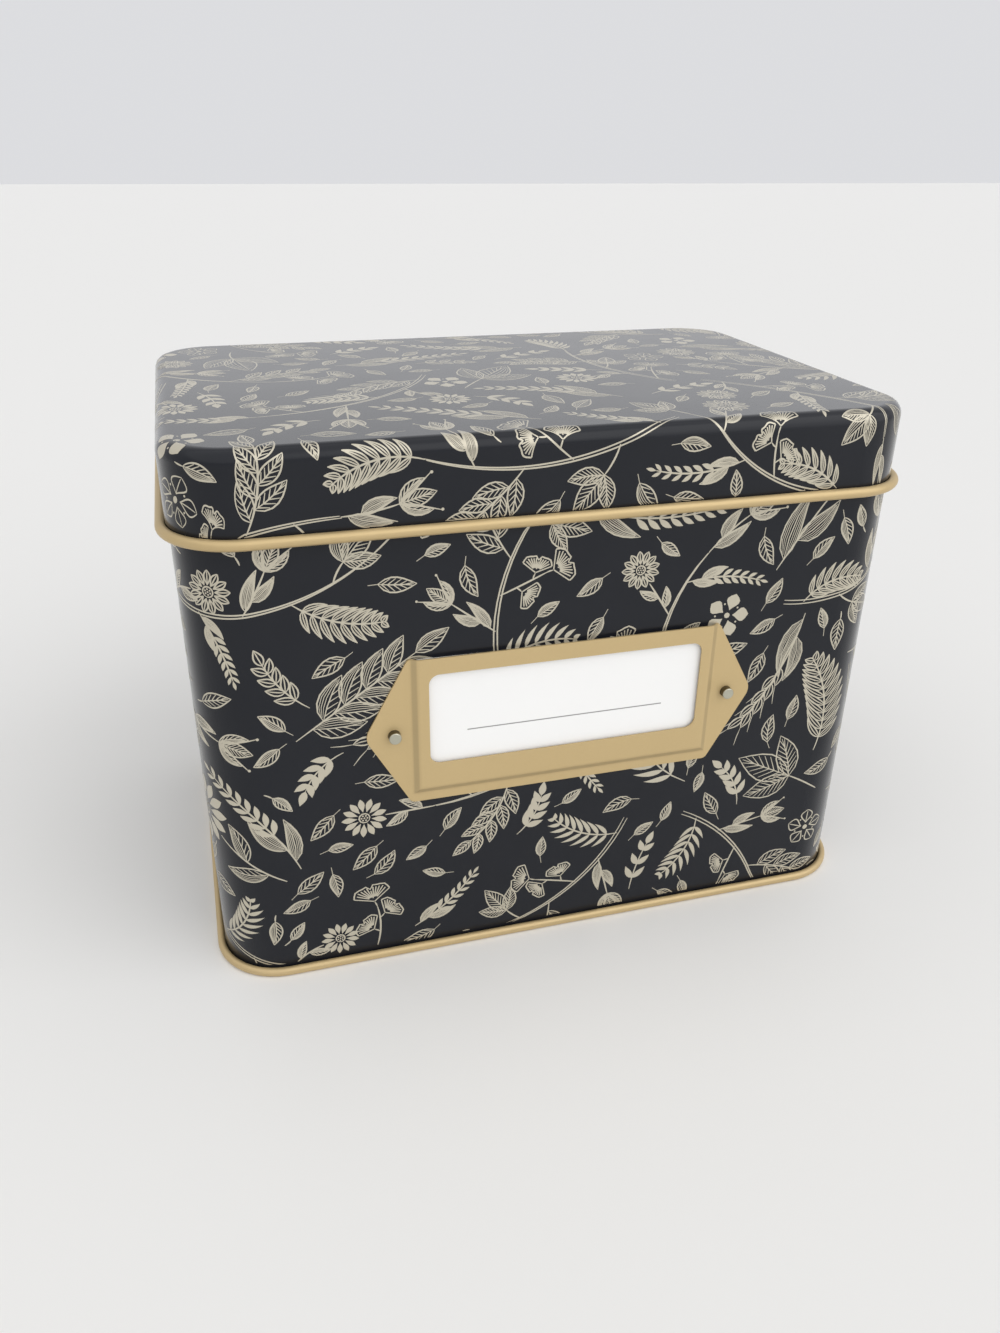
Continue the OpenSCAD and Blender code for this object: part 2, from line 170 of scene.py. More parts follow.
def aim(yaw, pitch, roll):
    """Columns right, up and back of a camera: it looks along yaw from +Y towards +X, down by pitch, and then
    rolls about its own line of sight."""
    ahead = np.array([math.sin(yaw) * math.cos(pitch), math.cos(yaw) * math.cos(pitch), -math.sin(pitch)])
    level = np.cross(ahead, [0, 0, 1])
    level /= np.linalg.norm(level)
    over = np.cross(level, ahead)
    right = math.cos(roll) * level + math.sin(roll) * over
    up = -math.sin(roll) * level + math.cos(roll) * over
    return np.column_stack([right, up, -ahead])


scene = bpy.context.scene
camera_data = bpy.data.cameras.new("camera")
camera_data.sensor_width = SENSOR_MM
camera_data.lens = FOCAL_PX / max(PICTURE_W, PICTURE_H) * SENSOR_MM
camera_data.clip_start, camera_data.clip_end = NEAREST, FARTHEST
camera = bpy.data.objects.new("camera", camera_data)
camera.matrix_world = Matrix.Translation(CAMERA_AT) @ Matrix(aim(CAMERA_YAW, CAMERA_PITCH, CAMERA_ROLL)).to_4x4()
scene.collection.objects.link(camera)
scene.camera = camera
print("lens", round(camera_data.lens, 2), "mm")

# %% [markdown]
# ## Shader maths as Python
#
# A material is mostly arithmetic on a few masks. Wiring that by hand hides it, so a small class wraps a socket
# and overloads the operators: `1 - mask * 0.3` adds the Math nodes for it.

# %% A wire with operators


class Wire:
    """A number or colour that varies over a surface: the output socket of a node."""

    def __init__(self, finish, socket):
        self.finish, self.socket = finish, socket

    def maths(self, operation, *values):
        return self.finish.add("ShaderNodeMath", {"operation": operation}, *values)

    def __add__(self, other):
        return self.maths("ADD", self, other)

    def __sub__(self, other):
        return self.maths("SUBTRACT", self, other)

    def __rsub__(self, other):
        return self.maths("SUBTRACT", other, self)

    def __mul__(self, other):
        return self.maths("MULTIPLY", self, other)

    __radd__, __rmul__ = __add__, __mul__

    def __truediv__(self, other):
        return self.maths("DIVIDE", self, other)

    def __abs__(self):
        return self.maths("ABSOLUTE", self)

    def root(self):
        return self.maths("SQRT", self)

    def fraction(self):
        return self.maths("FRACT", self)

    def least(self, other):
        return self.maths("MINIMUM", self, other)

    def most(self, other):
        return self.maths("MAXIMUM", self, other)

    def ramp(self, start, end):
        """0 at start and 1 at end, with eased ends. Start may be the larger."""
        return self.finish.add("ShaderNodeMapRange", {"interpolation_type": "SMOOTHSTEP"}, self, start, end, 0.0, 1.0)


# %% [markdown]
# A finish owns a material and its nodes. Every node that isn't arithmetic comes from `add`, which sets a node's
# options first and then its inputs. Numbers that don't vary stay on the shader's own sockets, and `drive` links
# what does vary.

# %% A finish that owns the nodes


class Finish:
    """A material whose nodes are made from expressions."""

    def __init__(self, name, **fixed):
        self.material = bpy.data.materials.new(name)
        self.material.use_nodes = True
        self.tree = self.material.node_tree
        self.shader = self.tree.nodes["Principled BSDF"]
        for socket, value in fixed.items():
            self.shader.inputs[socket.replace("_", " ")].default_value = value
        self.place = self.add("ShaderNodeTexCoord", {}, out="Object")

    def add(self, kind, settings, *values, out=0, **named):
        """Adds a node: its settings first, then its inputs by order or by name. Returns one output."""
        node = self.tree.nodes.new(kind)
        for key, value in settings.items():
            setattr(node, key, value)
        for key, value in [*enumerate(values), *named.items()]:
            if isinstance(value, Wire):
                self.tree.links.new(value.socket, node.inputs[key])
            else:
                node.inputs[key].default_value = value
        return Wire(self, node.outputs[out])

    def axes(self):
        """The three coordinates of the place on the object, in millimetres."""
        node = self.tree.nodes.new("ShaderNodeSeparateXYZ")
        self.tree.links.new(self.place.socket, node.inputs[0])
        return [Wire(self, socket) / MM for socket in node.outputs]

    def noise(self, size_mm, detail=2.0, roughness=0.5, stretch=(1, 1, 1)):
        """Noise from 0 to 1 whose blotches are about size_mm across, longer where stretch is small."""
        spread = self.add("ShaderNodeMapping", {}, self.place, Scale=stretch)
        scale = 1 / (size_mm * MM)
        return self.add("ShaderNodeTexNoise", {}, spread, Scale=scale, Detail=detail, Roughness=roughness, out="Fac")

    def mix(self, share, first, second):
        """A colour between two colours or wires of colours."""
        node = self.tree.nodes.new("ShaderNodeMix")
        node.data_type = "RGBA"
        for socket, value in [(node.inputs[0], share), (node.inputs[6], first), (node.inputs[7], second)]:
            if isinstance(value, Wire):
                self.tree.links.new(value.socket, socket)
            else:
                socket.default_value = value if isinstance(value, float) else (*value, 1.0)
        return Wire(self, node.outputs[2])

    def drive(self, **wires):
        """Links wires to the shader's sockets."""
        for socket, wire in wires.items():
            self.tree.links.new(wire.socket, self.shader.inputs[socket.replace("_", " ")])
        return self

    def bump(self, height_mm):
        """Presses a height in millimetres into the surface's normal."""
        return self.drive(Normal=self.add("ShaderNodeBump", {}, Strength=1.0, Distance=MM, Height=height_mm))

    def wear(self, *names):
        """Puts this finish on CAD nodes."""
        for name in names:
            nodes[name].data.materials.clear()
            nodes[name].data.materials.append(self.material)
        print(self.material.name, "has", len(self.tree.nodes), "nodes and is worn by", len(names), "solids")

# %% [markdown]
# ## Floor and light
#
# The box stands on a pale, faintly glossy floor in soft light. The world lights evenly from all round. A very
# broad sun overhead keeps the floor beside the box pale, and a narrower one on the right is the window that
# draws the bright line along the lid's fold and shades the left slope of the holder. It is still so wide that its
# reflection doesn't burn out the lid seen from behind. Together they light a level surface by about 1, so that a
# colour renders as it is written. The backdrop is what the camera, reflections and clear materials see of the
# world, at strength 1.

# %% The floor
FLOOR_HALF = 4.0  # metres
FLOOR_COLOUR = (0.84, 0.835, 0.825, 1.0)

corners = [(x * FLOOR_HALF, y * FLOOR_HALF, 0) for x, y in [(-1, -1), (1, -1), (1, 1), (-1, 1)]]
floor_mesh = bpy.data.meshes.new("floor")
floor_mesh.from_pydata(corners, [], [(0, 1, 2, 3)])
floor = bpy.data.objects.new("floor", floor_mesh)
scene.collection.objects.link(floor)
floor_finish = Finish("pale floor", Base_Color=FLOOR_COLOUR, Roughness=0.5, Specular_IOR_Level=0.3)
floor_mesh.materials.append(floor_finish.material)
print("the floor is", 2 * FLOOR_HALF, "m wide")

# %% The world and its backdrop
BACKDROP_COLOUR = (0.72, 0.725, 0.745, 1.0)
SKY_STRENGTH = 0.57

world = bpy.data.worlds.new("studio")
scene.world = world
world.use_nodes = True
wires = world.node_tree.links
sky = world.node_tree.nodes["Background"]
sky.inputs["Color"].default_value = (1, 1, 1, 1)
sky.inputs["Strength"].default_value = SKY_STRENGTH
backdrop = world.node_tree.nodes.new("ShaderNodeBackground")
backdrop.inputs["Color"].default_value = BACKDROP_COLOUR
path = world.node_tree.nodes.new("ShaderNodeLightPath")
seen = path.outputs["Is Camera Ray"]
for ray in ("Is Glossy Ray", "Is Transmission Ray"):
    either = world.node_tree.nodes.new("ShaderNodeMath")
    either.operation = "MAXIMUM"
    wires.new(seen, either.inputs[0])
    wires.new(path.outputs[ray], either.inputs[1])
    seen = either.outputs[0]
blend = world.node_tree.nodes.new("ShaderNodeMixShader")
wires.new(seen, blend.inputs[0])
wires.new(sky.outputs[0], blend.inputs[1])
wires.new(backdrop.outputs[0], blend.inputs[2])
wires.new(blend.outputs[0], world.node_tree.nodes["World Output"].inputs["Surface"])
print("the world lights the floor by", SKY_STRENGTH)

# %% Two suns
SUNS = {  # where each stands, its strength, and how many degrees wide it looks
    "ceiling": (Vector((-0.10, -0.45, 1.00)), 1.00, 100),
    "window": (Vector((0.70, -0.71, 0.60)), 0.94, 66),
}
for name, (place, strength, width) in SUNS.items():
    light = bpy.data.lights.new(name, "SUN")
    light.energy, light.angle = strength, math.radians(width)
    sun = bpy.data.objects.new(name, light)
    sun.matrix_world = (-place).to_track_quat("-Z", "Y").to_matrix().to_4x4()
    scene.collection.objects.link(sun)
    print(name, "lights the floor by", round(strength / math.pi * place.normalized().z, 2))
scene.view_settings.view_transform = "Standard"  # colours aren't bent towards a film's

# %% [markdown]
# ## Tinplate: black outside, gold at the beads, bare inside
#
# The sheet is printed flat and folded afterwards, so one piece shows three finishes: matt varnish over black on
# the printed face, gold lacquer where the sheet is rolled into a bead or drawn in as the neck, and bare tin
# inside. No seam in the mesh marks these, but distances do. The signed distance from the body's outline tells the
# outer face from the inner one, and the height tells the bead from the skirt. The varnish is never quite even,
# so its roughness drifts and its surface has the faint waviness of a rolled coat. Seen head-on it is nearly
# black, and seen at a low angle it shines far more than a bare coat would, so a second coat comes in there.

# %% Three finishes, mixed by two masks
VARNISH = 0.7  # share of a second coat's shine that shows at a grazing view
GRAZING = 0.35, 0.85  # how far a face turns away before that coat begins to show, and until it shows in full
COAT_ROUGHNESS, PRINTED_SPECULAR = 0.2, 0.26
BLACK, BLACK_PALE = (0.0085, 0.0099, 0.0142), (0.0121, 0.0135, 0.0182)
LACQUER, LACQUER_PALE = (0.53, 0.395, 0.20), (0.59, 0.45, 0.24)
TIN, TIN_DULL = (0.56, 0.56, 0.54), (0.47, 0.47, 0.46)
LACQUER_METAL, TIN_METAL = 0.4, 0.95
WAVE_MM, PEEL_MM, SPANGLE_MM = 14.0, 0.9, 3.5  # across a wave of the coat, its fine grain, and the tin's crystals
WAVE_RELIEF, PEEL_RELIEF = 0.01, 0.004  # mm


def tinplate(finish, printed, gold):
    """Mixes the three finishes by two masks: printed over gold over bare."""
    drift, peel = finish.noise(WAVE_MM, 3.0), finish.noise(PEEL_MM, 2.0)
    spangle = finish.noise(SPANGLE_MM, 4.0, 0.65, (1, 1, 0.25))
    black = finish.mix(drift, BLACK, BLACK_PALE)
    lacquer = finish.mix(drift, LACQUER, LACQUER_PALE)
    bare = finish.mix(spangle.ramp(0.35, 0.65), TIN_DULL, TIN)
    metal = gold * LACQUER_METAL + (1 - gold) * TIN_METAL
    rough = gold * (0.36 + drift * 0.08) + (1 - gold) * (0.26 + spangle * 0.2)
    facing = finish.add("ShaderNodeLayerWeight", {}, 0.5, out="Facing")
    finish.drive(
        Base_Color=finish.mix(printed, finish.mix(gold, bare, lacquer), black),
        Metallic=metal * (1 - printed),
        Coat_Weight=facing.ramp(*GRAZING) * printed * VARNISH,
        Roughness=printed * (0.20 + drift * 0.07) + rough * (1 - printed),
    )
    return finish.bump(peel * PEEL_RELIEF + drift * WAVE_RELIEF)


# %% [markdown]
# Between the outer and the inner face a mask changes over inside the sheet, where it doesn't show. On the wall the
# print ends under the lid's bead, and gold goes on over the neck and round the hem. On the lid the distance from
# the drawn shape also tells the bead, which stands out of it.

# %% Distances as masks
SHEET = 0.3
OVER_NECK = 1.5  # this far over the bead the wall is already drawn in
HEM = 2.9  # height of the hem curled in at the rim, and a little more
RIM_Z = points_of("body_wall")[:, 2].max()
NECK_IN = wall.half[0] - outline_at("body_wall", BEAD_Z + OVER_NECK)[0]
print("the wall's neck stands", round(NECK_IN, 2), "mm in, its rim", round(RIM_Z, 2), "mm up")


def outward(x, y, outline):
    """Signed distance out of a rounded rectangle, as nodes: Pythagoras past a corner's centre, and the nearer
    side elsewhere."""
    half_w, half_d = outline.half - outline.radius
    past_x, past_y = abs(x) - float(half_w), abs(y) - float(half_d)
    corner_x, corner_y = past_x.most(0.0), past_y.most(0.0)
    reach = (corner_x * corner_x + corner_y * corner_y).root()
    return reach + past_x.most(past_y).least(0.0) - outline.radius


def outside(distance, face):
    """1 outside a sheet whose outer face lies at this distance, and 0 inside it."""
    return distance.ramp(face - 0.6 * SHEET, face - 0.4 * SHEET)


def varnished(name):
    """A finish with the gloss of the printed face."""
    return Finish(name, Specular_IOR_Level=PRINTED_SPECULAR, Coat_Roughness=COAT_ROUGHNESS)


body_tin = varnished("printed tinplate of the body")
x, y, z = body_tin.axes()
out = outward(x, y, wall)
above = z.ramp(BEAD_Z - 0.05, BEAD_Z + 0.05)
hem = z.ramp(RIM_Z - HEM, RIM_Z - HEM + 0.1)
neck = outside(out, -NECK_IN)
tinplate(body_tin, outside(out, 0) * (1 - above), neck.most(hem) * above).wear("body_wall")

lid_tin = varnished("printed tinplate of the lid")
x, y, z = lid_tin.axes()
from_fold = outward(x, y, top).most(0.0)
over_fold = (z - (TOP_Z - EDGE_R)).most(0.0)
shell = (from_fold * from_fold + over_fold * over_fold).root()
bead = shell.ramp(EDGE_R + 0.06, EDGE_R + 0.16).most(z.ramp(BEAD_Z + 0.3, BEAD_Z + 0.1))
tinplate(lid_tin, outside(shell, EDGE_R) * (1 - bead), bead).wear("lid")

# %% [markdown]
# ## Plain metals
#
# The base panel and the hinge loops are lacquered tin, too. The label holder is pressed from thicker sheet and
# brass-plated, with the soft sheen of a tumbled part, and the slope round its raised panel gets painted shade. Its
# rivets are nickel-plated, and each gets painted shade round its shank below the bright cut end. The hinge wire is
# drawn steel, so its grain runs along it.

# %% Gold tin, plated brass, nickel and steel
PLATE, PLATE_DEEP = (0.60, 0.455, 0.235), (0.545, 0.405, 0.20)
NICKEL, NICKEL_DULL = (0.52, 0.51, 0.42), (0.42, 0.41, 0.33)
STEEL, STEEL_DARK = (0.50, 0.50, 0.50), (0.36, 0.36, 0.37)
PAINTED_SHADE_COLOUR, SLOPE_SHADE_SHARE = (0.11, 0.095, 0.06), 0.24  # the colour of painted shade, and how much of it is painted on the holder's drawn slope


def metal(name, pale, deep, grain, shine, rough, relief, painted_shade=None):
    """A metal whose colour and roughness follow one grain, which also presses the surface by relief mm. Painted shade
    hides it where the mask that the last argument makes is 1."""
    finish = Finish(name, Metallic=shine)
    grains = finish.noise(*grain)
    patch = finish.noise(22.0)
    colour = finish.mix(grains * 0.6 + patch * 0.4, deep, pale)
    finish.drive(
        # painted shade: the colour turns dark brown where the mask is 1
        Base_Color=finish.mix(painted_shade(finish), colour, PAINTED_SHADE_COLOUR) if painted_shade else colour,
        Roughness=rough + grains * 0.12 + patch * 0.06,
    )
    return finish.bump(grains * relief)


def layer(finish, node, begins, ends):
    """A mask by depth, in mm behind the node's foremost point: from 0 to 1 over begins, and back to 0 over ends."""
    depth = finish.axes()[1] - float(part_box(node)[0][1] / MM)
    return depth.ramp(*begins).least(depth.ramp(*reversed(ends)))


def shank_shade(finish):
    """Painted shade round each rivet's shank, from half a millimetre behind its cut end to the plate."""
    return layer(finish, "holder_rivets", (0.12, 0.5), (2.6, 2.8))


def slope_shade(finish):
    """Painted shade on the holder's drawn slope, between its raised panel and the margin behind it."""
    return layer(finish, "label_holder", (0.08, 0.3), (0.75, 0.95)) * SLOPE_SHADE_SHARE


gold_tin = metal("gold tin", LACQUER_PALE, LACQUER, grain=(2.0, 4.0), shine=0.4, rough=0.36, relief=0.003)
# painted shade on the holder's drawn slope
plate = metal("plated brass", PLATE, PLATE_DEEP, grain=(0.5, 3.0), shine=0.35, rough=0.40, relief=0.003, painted_shade=slope_shade)
# painted shade round each rivet's shank
nickel = metal("nickel", NICKEL, NICKEL_DULL, grain=(0.35, 3.0), shine=0.85, rough=0.28, relief=0.004, painted_shade=shank_shade)
drawn = (0.3, 3.0, 0.6, (0.02, 1, 1))  # fifty times as long as wide
steel = metal("drawn steel", STEEL, STEEL_DARK, grain=drawn, shine=1.0, rough=0.24, relief=0.003)
gold_tin.wear("base_panel", "hinge_loop_left", "hinge_loop_right")
plate.wear("label_holder")
nickel.wear("holder_rivets")
steel.wear("hinge_wire")

# %% [markdown]
# ## Board and paper
#
# The label is smooth white card with one thin line to write on. The recipe cards are creamy card with faint ruled
# lines, and the dividers are manila board flecked with fibres. Paper scatters light, so it gets a high roughness
# and a little fibre in its relief.

# %% Card stock
WHITE, WHITE_COOL = (0.93, 0.925, 0.915), (0.90, 0.90, 0.895)
CREAM, CREAM_DEEP = (0.80, 0.755, 0.65), (0.74, 0.69, 0.575)
MANILA, MANILA_DEEP = (0.70, 0.57, 0.35), (0.61, 0.48, 0.28)
RULE_BLUE, LINE_GREY = (0.42, 0.50, 0.60), (0.28, 0.28, 0.27)
RULE_PITCH, RULE_WIDTH, RULE_TOP = 7.0, 0.35, 93.0  # mm from line to line, of a line, and up to where they end
RULE_SHARE = 0.7  # of the blue that shows
WRITING_Z, WRITING_HALF, WRITING_LINE = 64.5, 25.0, 0.4  # the label's one line: its height, half length and width


def stock(name, pale, deep, fibre_mm, relief):
    """Paper: soft blotches of colour under short fibres that lie mostly level."""
    finish = Finish(name, Specular_IOR_Level=0.25)
    fibre = finish.noise(fibre_mm, 4.0, 0.7, (0.3, 1, 1))
    blotch = finish.noise(18.0, 3.0)
    colour = finish.mix(fibre * 0.5 + blotch * 0.5, deep, pale)
    finish.drive(Base_Color=colour, Roughness=0.72 + fibre * 0.2)
    return finish.bump(fibre * relief), colour


label, white = stock("white card", WHITE, WHITE_COOL, 0.6, 0.006)
across, _, up = label.axes()
thick = abs(up - WRITING_Z).ramp(WRITING_LINE / 2, WRITING_LINE / 4)
long = abs(across).ramp(WRITING_HALF, WRITING_HALF - 0.2)
label.drive(Base_Color=label.mix(thick * long, white, LINE_GREY)).wear("label_card")
stock("manila board", MANILA, MANILA_DEEP, 1.4, 0.012)[0].wear(*[n for n in nodes if n.startswith("divider")])
cards, cream = stock("recipe card", CREAM, CREAM_DEEP, 0.8, 0.008)
height = cards.axes()[2]
line = abs((height / RULE_PITCH).fraction() - 0.5) * RULE_PITCH
rule = line.ramp(RULE_WIDTH, RULE_WIDTH / 2) * height.ramp(RULE_TOP, RULE_TOP - 1)
cards.drive(Base_Color=cards.mix(rule * RULE_SHARE, cream, RULE_BLUE))
cards.wear(*[n for n in nodes if n.startswith("recipe")])

# %% [markdown]
# ## Drawing on the flat sheet
#
# Tinplate is printed flat, before it is cut and folded, so the drawing is made flat as well. A point on the sheet
# is a complex number in millimetres, and turning a shape is one multiplication. A stroke is a centre line with a
# half width at each station, which covers both a thin line and a filled petal. Stations come FINE to a span.
# Where the sheet stays flat, one in FINE is enough for the faces, and where it is folded all of them are used and
# split further.

# %% Arcs and pen lines
FINE = 4
LINE = 0.19  # half width of a drawn line


def steps(spans):
    """Shares from 0 to 1 along a stroke of so many spans."""
    return np.linspace(0, 1, spans * FINE + 1)


def bow(start, heading, length, bend, t):
    """Points and headings at shares t of arcs. An arc that turns by bend has its chord at half that turn, and the
    chord is the arc's length times sin(bend/2) over bend/2."""
    reach = length * t * np.sinc(bend * t / (2 * np.pi))
    return start + reach * np.exp(1j * (heading + bend * t / 2)), heading + bend * t


def tapered(t, half=LINE):
    """Half widths of a pen line: it lands and lifts at its ends."""
    return half * (0.45 + 0.55 * np.sin(np.pi * t) ** 0.5)


print("a span has", FINE, "stations, a line is", 2 * LINE, "mm wide")

# %% [markdown]
# A page collects the strokes of one motif. Nearly all of them are lines, dots and leaves, and a petal, a bud or a
# grain is a leaf of another width and bluntness.

# %% A page and what is drawn on it


class Page:
    """One motif: its ink, and the shapes that its lines enclose, which keep other motifs out."""

    def __init__(self):
        self.ink, self.enclosed = [], []

    def stroke(self, centre, half, where="ink"):
        """Adds strokes, one a row: centre line and half width at each station."""
        centre, half = np.broadcast_arrays(centre, half)
        getattr(self, where).append((centre.reshape(-1, centre.shape[-1]), half.reshape(-1, half.shape[-1])))

    def line(self, start, heading, length, bend, spans, half=LINE):
        """Pen lines along arcs."""
        t = steps(spans)
        columns = [np.asarray(v)[..., None] for v in (start, heading, length, bend)]
        self.stroke(bow(*columns, t)[0], tapered(t, half))

    def dots(self, centre, radius):
        """Round dots: the centre line runs across the dot, with the circle's half chord as its half width."""
        t = steps(4)
        centre, radius = np.asarray(centre)[..., None], np.asarray(radius)[..., None]
        self.stroke(centre - radius * np.cos(np.pi * t), radius * np.sin(np.pi * t))

    def leaves(self, start, heading, length, width, bend=0.0, blunt=0.8, style="veined", veins=5):
        """Leaves or petals. Half the width follows sin(pi t^blunt), widest nearer the base when blunt is under 1.
        Veined ones have an edge, a rib and slanting veins, shaded ones have long lines on one half instead, and
        long ones have them on both."""
        start, heading, length, width, bend = (
            np.ravel(v)[:, None, None] for v in np.broadcast_arrays(start, heading, length, width, bend)
        )

        def at(t, across):
            middle, along = bow(start, heading, length, bend, t)
            return middle + 1j * np.exp(1j * along) * width / 2 * np.sin(np.pi * t**blunt) * across

        t = steps(6)[None]
        swell = width / 2 * np.sin(np.pi * t**blunt)
        self.stroke(at(t, 0), swell, "enclosed")
        if style == "solid":
            self.stroke(at(t, 0), swell)
            return
        self.stroke(at(steps(3)[None] * 0.92, 0), tapered(steps(3), LINE * 0.8))  # the rib stops short of the tip
        root, out, inner = np.linspace(0.10, 0.70, veins)[:, None], steps(1), 0.07 + 0.82 * steps(4)
        for side in (-1, 1):
            self.stroke(at(t, side), tapered(t))  # the edge
            if style == "long" or (style == "shaded" and side > 0):
                for share in (0.3, 0.55, 0.78):  # long lines between the rib and the edge
                    self.stroke(at(inner[None], side * share), tapered(steps(4), LINE * 0.5))
            elif style != "open":  # veins that slant up and out, and thin towards the edge
                self.stroke(at(root + 0.2 * out, side * 0.82 * out), LINE * (0.75 - 0.35 * out))


# %% [markdown]
# ## The motifs
#
# They are common garden shapes. Each is drawn at a place, in a direction and at a size, where 1 is full grown. Its
# lengths, in millimetres, and its bends, in radians, are random within limits, so no two come out alike. Most
# have a bowed stem that carries leaves: on a branch they stand left and right in turn, on a fern in pairs.

# %% Branch and fern
TURN = 2 * np.pi


def stem(page, start, heading, length, bend, half=LINE * 1.2):
    """A stem, and a function that gives places and headings along it."""
    page.line(start, heading, length, bend, 8, half)
    return lambda t: bow(start, heading, length, bend, np.asarray(t))


def in_turn(along, first, last, count):
    """Shares, sides, places and headings of leaves that stand left and right in turn along a stem."""
    t = np.linspace(first, last, count)
    return t, np.where(np.arange(count) % 2, 1, -1), *along(t)


def in_pairs(along, first, last, pairs):
    """The same of leaves that stand in pairs."""
    t = np.repeat(np.linspace(first, last, pairs), 2)
    return t, np.tile([-1, 1], pairs), *along(t)


def branch(page, rng, start=0, heading=0, size=1.0):
    """Leaves in turn left and right of a stem, and one at its tip."""
    along = stem(page, start, heading, rng.uniform(34, 42) * size, rng.uniform(-0.9, 0.9))
    t, side, place, heading = in_turn(along, 0.14, 0.86, 9 if size > 0.9 else 7)
    long = rng.uniform(11, 13) * (1.05 - 0.35 * t) * (0.35 + 0.65 * size)
    style = rng.choice(["veined", "shaded", "veined"])
    page.leaves(place, heading + side * 0.75, long, long * 0.42, -side * 0.35, style=style)
    page.leaves(*along(1.0), long[-1], long[-1] * 0.42, style=style)


def fern(page, rng, start=0, heading=0, size=1.0):
    """Narrow leaflets in pairs, longest in the middle."""
    along = stem(page, start, heading, rng.uniform(30, 38) * size, rng.uniform(0.4, 1.2) * rng.choice([-1, 1]))
    t, side, place, heading = in_pairs(along, 0.14, 0.96, int(6 + 5 * size))
    long = (8.2 * np.sin(np.pi * (0.18 + 0.80 * t)) ** 0.8 + 0.9) * (0.3 + 0.7 * size)
    style, width = rng.choice(["solid", "open"]), 0.6 + 1.0 * size
    page.leaves(place, heading + side * 1.0, long, width, -side * 0.5, blunt=0.7, style=style)


# %% [markdown]
# A daisy is seen from the front, as rays round a ring of dots. A lily is seen from the side, as a cup of petals
# with stamens between them.

# %% Daisy and lily


def daisy(page, rng, start=0, heading=0, size=1.0):
    """Thirteen rays evenly round a ring, seven dots inside it, and two leaves on the stem."""
    along = stem(page, start, heading, rng.uniform(16, 22) * size, rng.uniform(-0.7, 0.7))
    head, heading = along(1.0)
    centre = head + 8.6 * size * np.exp(1j * heading)
    rays = np.arange(13) / 13 * TURN + heading
    edge = centre + 2.9 * size * np.exp(1j * rays)
    page.leaves(edge, rays, 6.4 * size, 2.7 * size, blunt=1.25, style=rng.choice(["open", "solid"]))
    page.line(centre - 2.2j * size, 0, 2.2 * size * TURN, TURN, 10)
    inner = np.arange(6) / 6 * TURN
    page.dots(centre + size * np.append(1.2 * np.exp(1j * inner), 0), 0.4 * size)
    place, heading = along([0.25, 0.55])
    page.leaves(place, heading + [0.8, -0.8], 11 * size, 4 * size, [-0.5, 0.5], style="shaded")


def lily(page, rng, start=0, heading=0, size=1.0):
    """Two petals that curl out, one between them, two stamens with dots, and two long leaves at the foot."""
    along = stem(page, start, heading, rng.uniform(20, 26) * size, rng.uniform(-0.6, 0.6))
    cup, heading = along(1.0)
    spread = np.array([-0.9, 0.9, -0.42, 0.42, 0.0])
    page.leaves(cup, heading + spread[:2], 13 * size, 3.9 * size, -0.9 * spread[:2], blunt=0.95, style="shaded")
    page.leaves(cup, heading + spread[4:], 14 * size, 6.0 * size, blunt=0.95, veins=7)
    page.line(cup, heading + spread[2:4], 15.5 * size, 0.3 * spread[2:4], 3)
    page.dots(cup + 15.8 * size * np.exp(1j * (heading + spread[2:4] * 1.12)), 0.6 * size)
    place, heading = along([0.12, 0.34])
    page.leaves(place, heading + [0.5, -0.55], [18 * size, 14 * size], 4.6 * size, [-0.5, 0.6], 0.7, "long")


# %% [markdown]
# The next ones change the texture of the drawing: fans of rays, solid buds, awned grains and broad veined leaves.

# %% Fan-shaped leaves, spike, grass and broad leaves


def fan(page, rng, start=0, heading=0, size=1.0):
    """Fan-shaped leaves: rays from the stalk to a rim whose radius follows a cosine, less a narrow notch."""
    along = stem(page, start, heading, rng.uniform(18, 24) * size, rng.uniform(-0.8, 0.8))
    place, heading = along([0.35, 0.7, 1.0])
    for base, turned, long in zip(place, heading + [0.95, -0.95, 0.0], [8.5, 8.5, 10.5]):
        tip, _ = bow(base, turned, 3.2 * size, 0.3, 1.0)
        page.line(base, turned, 3.2 * size, 0.3, 2)
        angle = np.linspace(-1.05, 1.05, 12 * FINE + 1)
        rim = size * long * (0.95 + 0.05 * np.cos(9 * angle)) * (1 - 0.3 * np.exp(-((angle / 0.13) ** 2)))
        page.stroke(tip + rim * np.exp(1j * (turned + angle)), LINE)
        rays, ends = angle[::FINE, None], rim[::FINE, None]
        outermost = np.abs(rays) > 1.0
        out = np.where(outermost, 0.03, 0.30) + steps(1) * np.where(outermost, 0.96, 0.58)
        page.stroke(tip + ends * out * np.exp(1j * (turned + rays * out**0.25)), LINE * 0.8)
        page.stroke(tip + ends * steps(2) * np.exp(1j * (turned + rays)), 0.1, "enclosed")


def spike(page, rng, start=0, heading=0, size=1.0):
    """Pairs of buds that get smaller towards the tip."""
    along = stem(page, start, heading, rng.uniform(30, 38) * size, rng.uniform(-0.9, 0.9))
    t, side, place, heading = in_pairs(along, 0.36, 0.94, int(4 + 4 * size))
    long = (5.6 - 2.4 * t) * (0.4 + 0.6 * size)
    page.leaves(place, heading + side * 0.8, long, long * 0.33, -side * 0.4, style="solid", blunt=1.1)
    page.leaves(*along(1.0), long[-1], long[-1] * 0.33, style="solid", blunt=1.1)
    place, heading = along([0.08, 0.2])
    page.leaves(place, heading + [0.55, -0.55], 13 * size, 3.4 * size, [-0.6, 0.6], 0.75, "long")


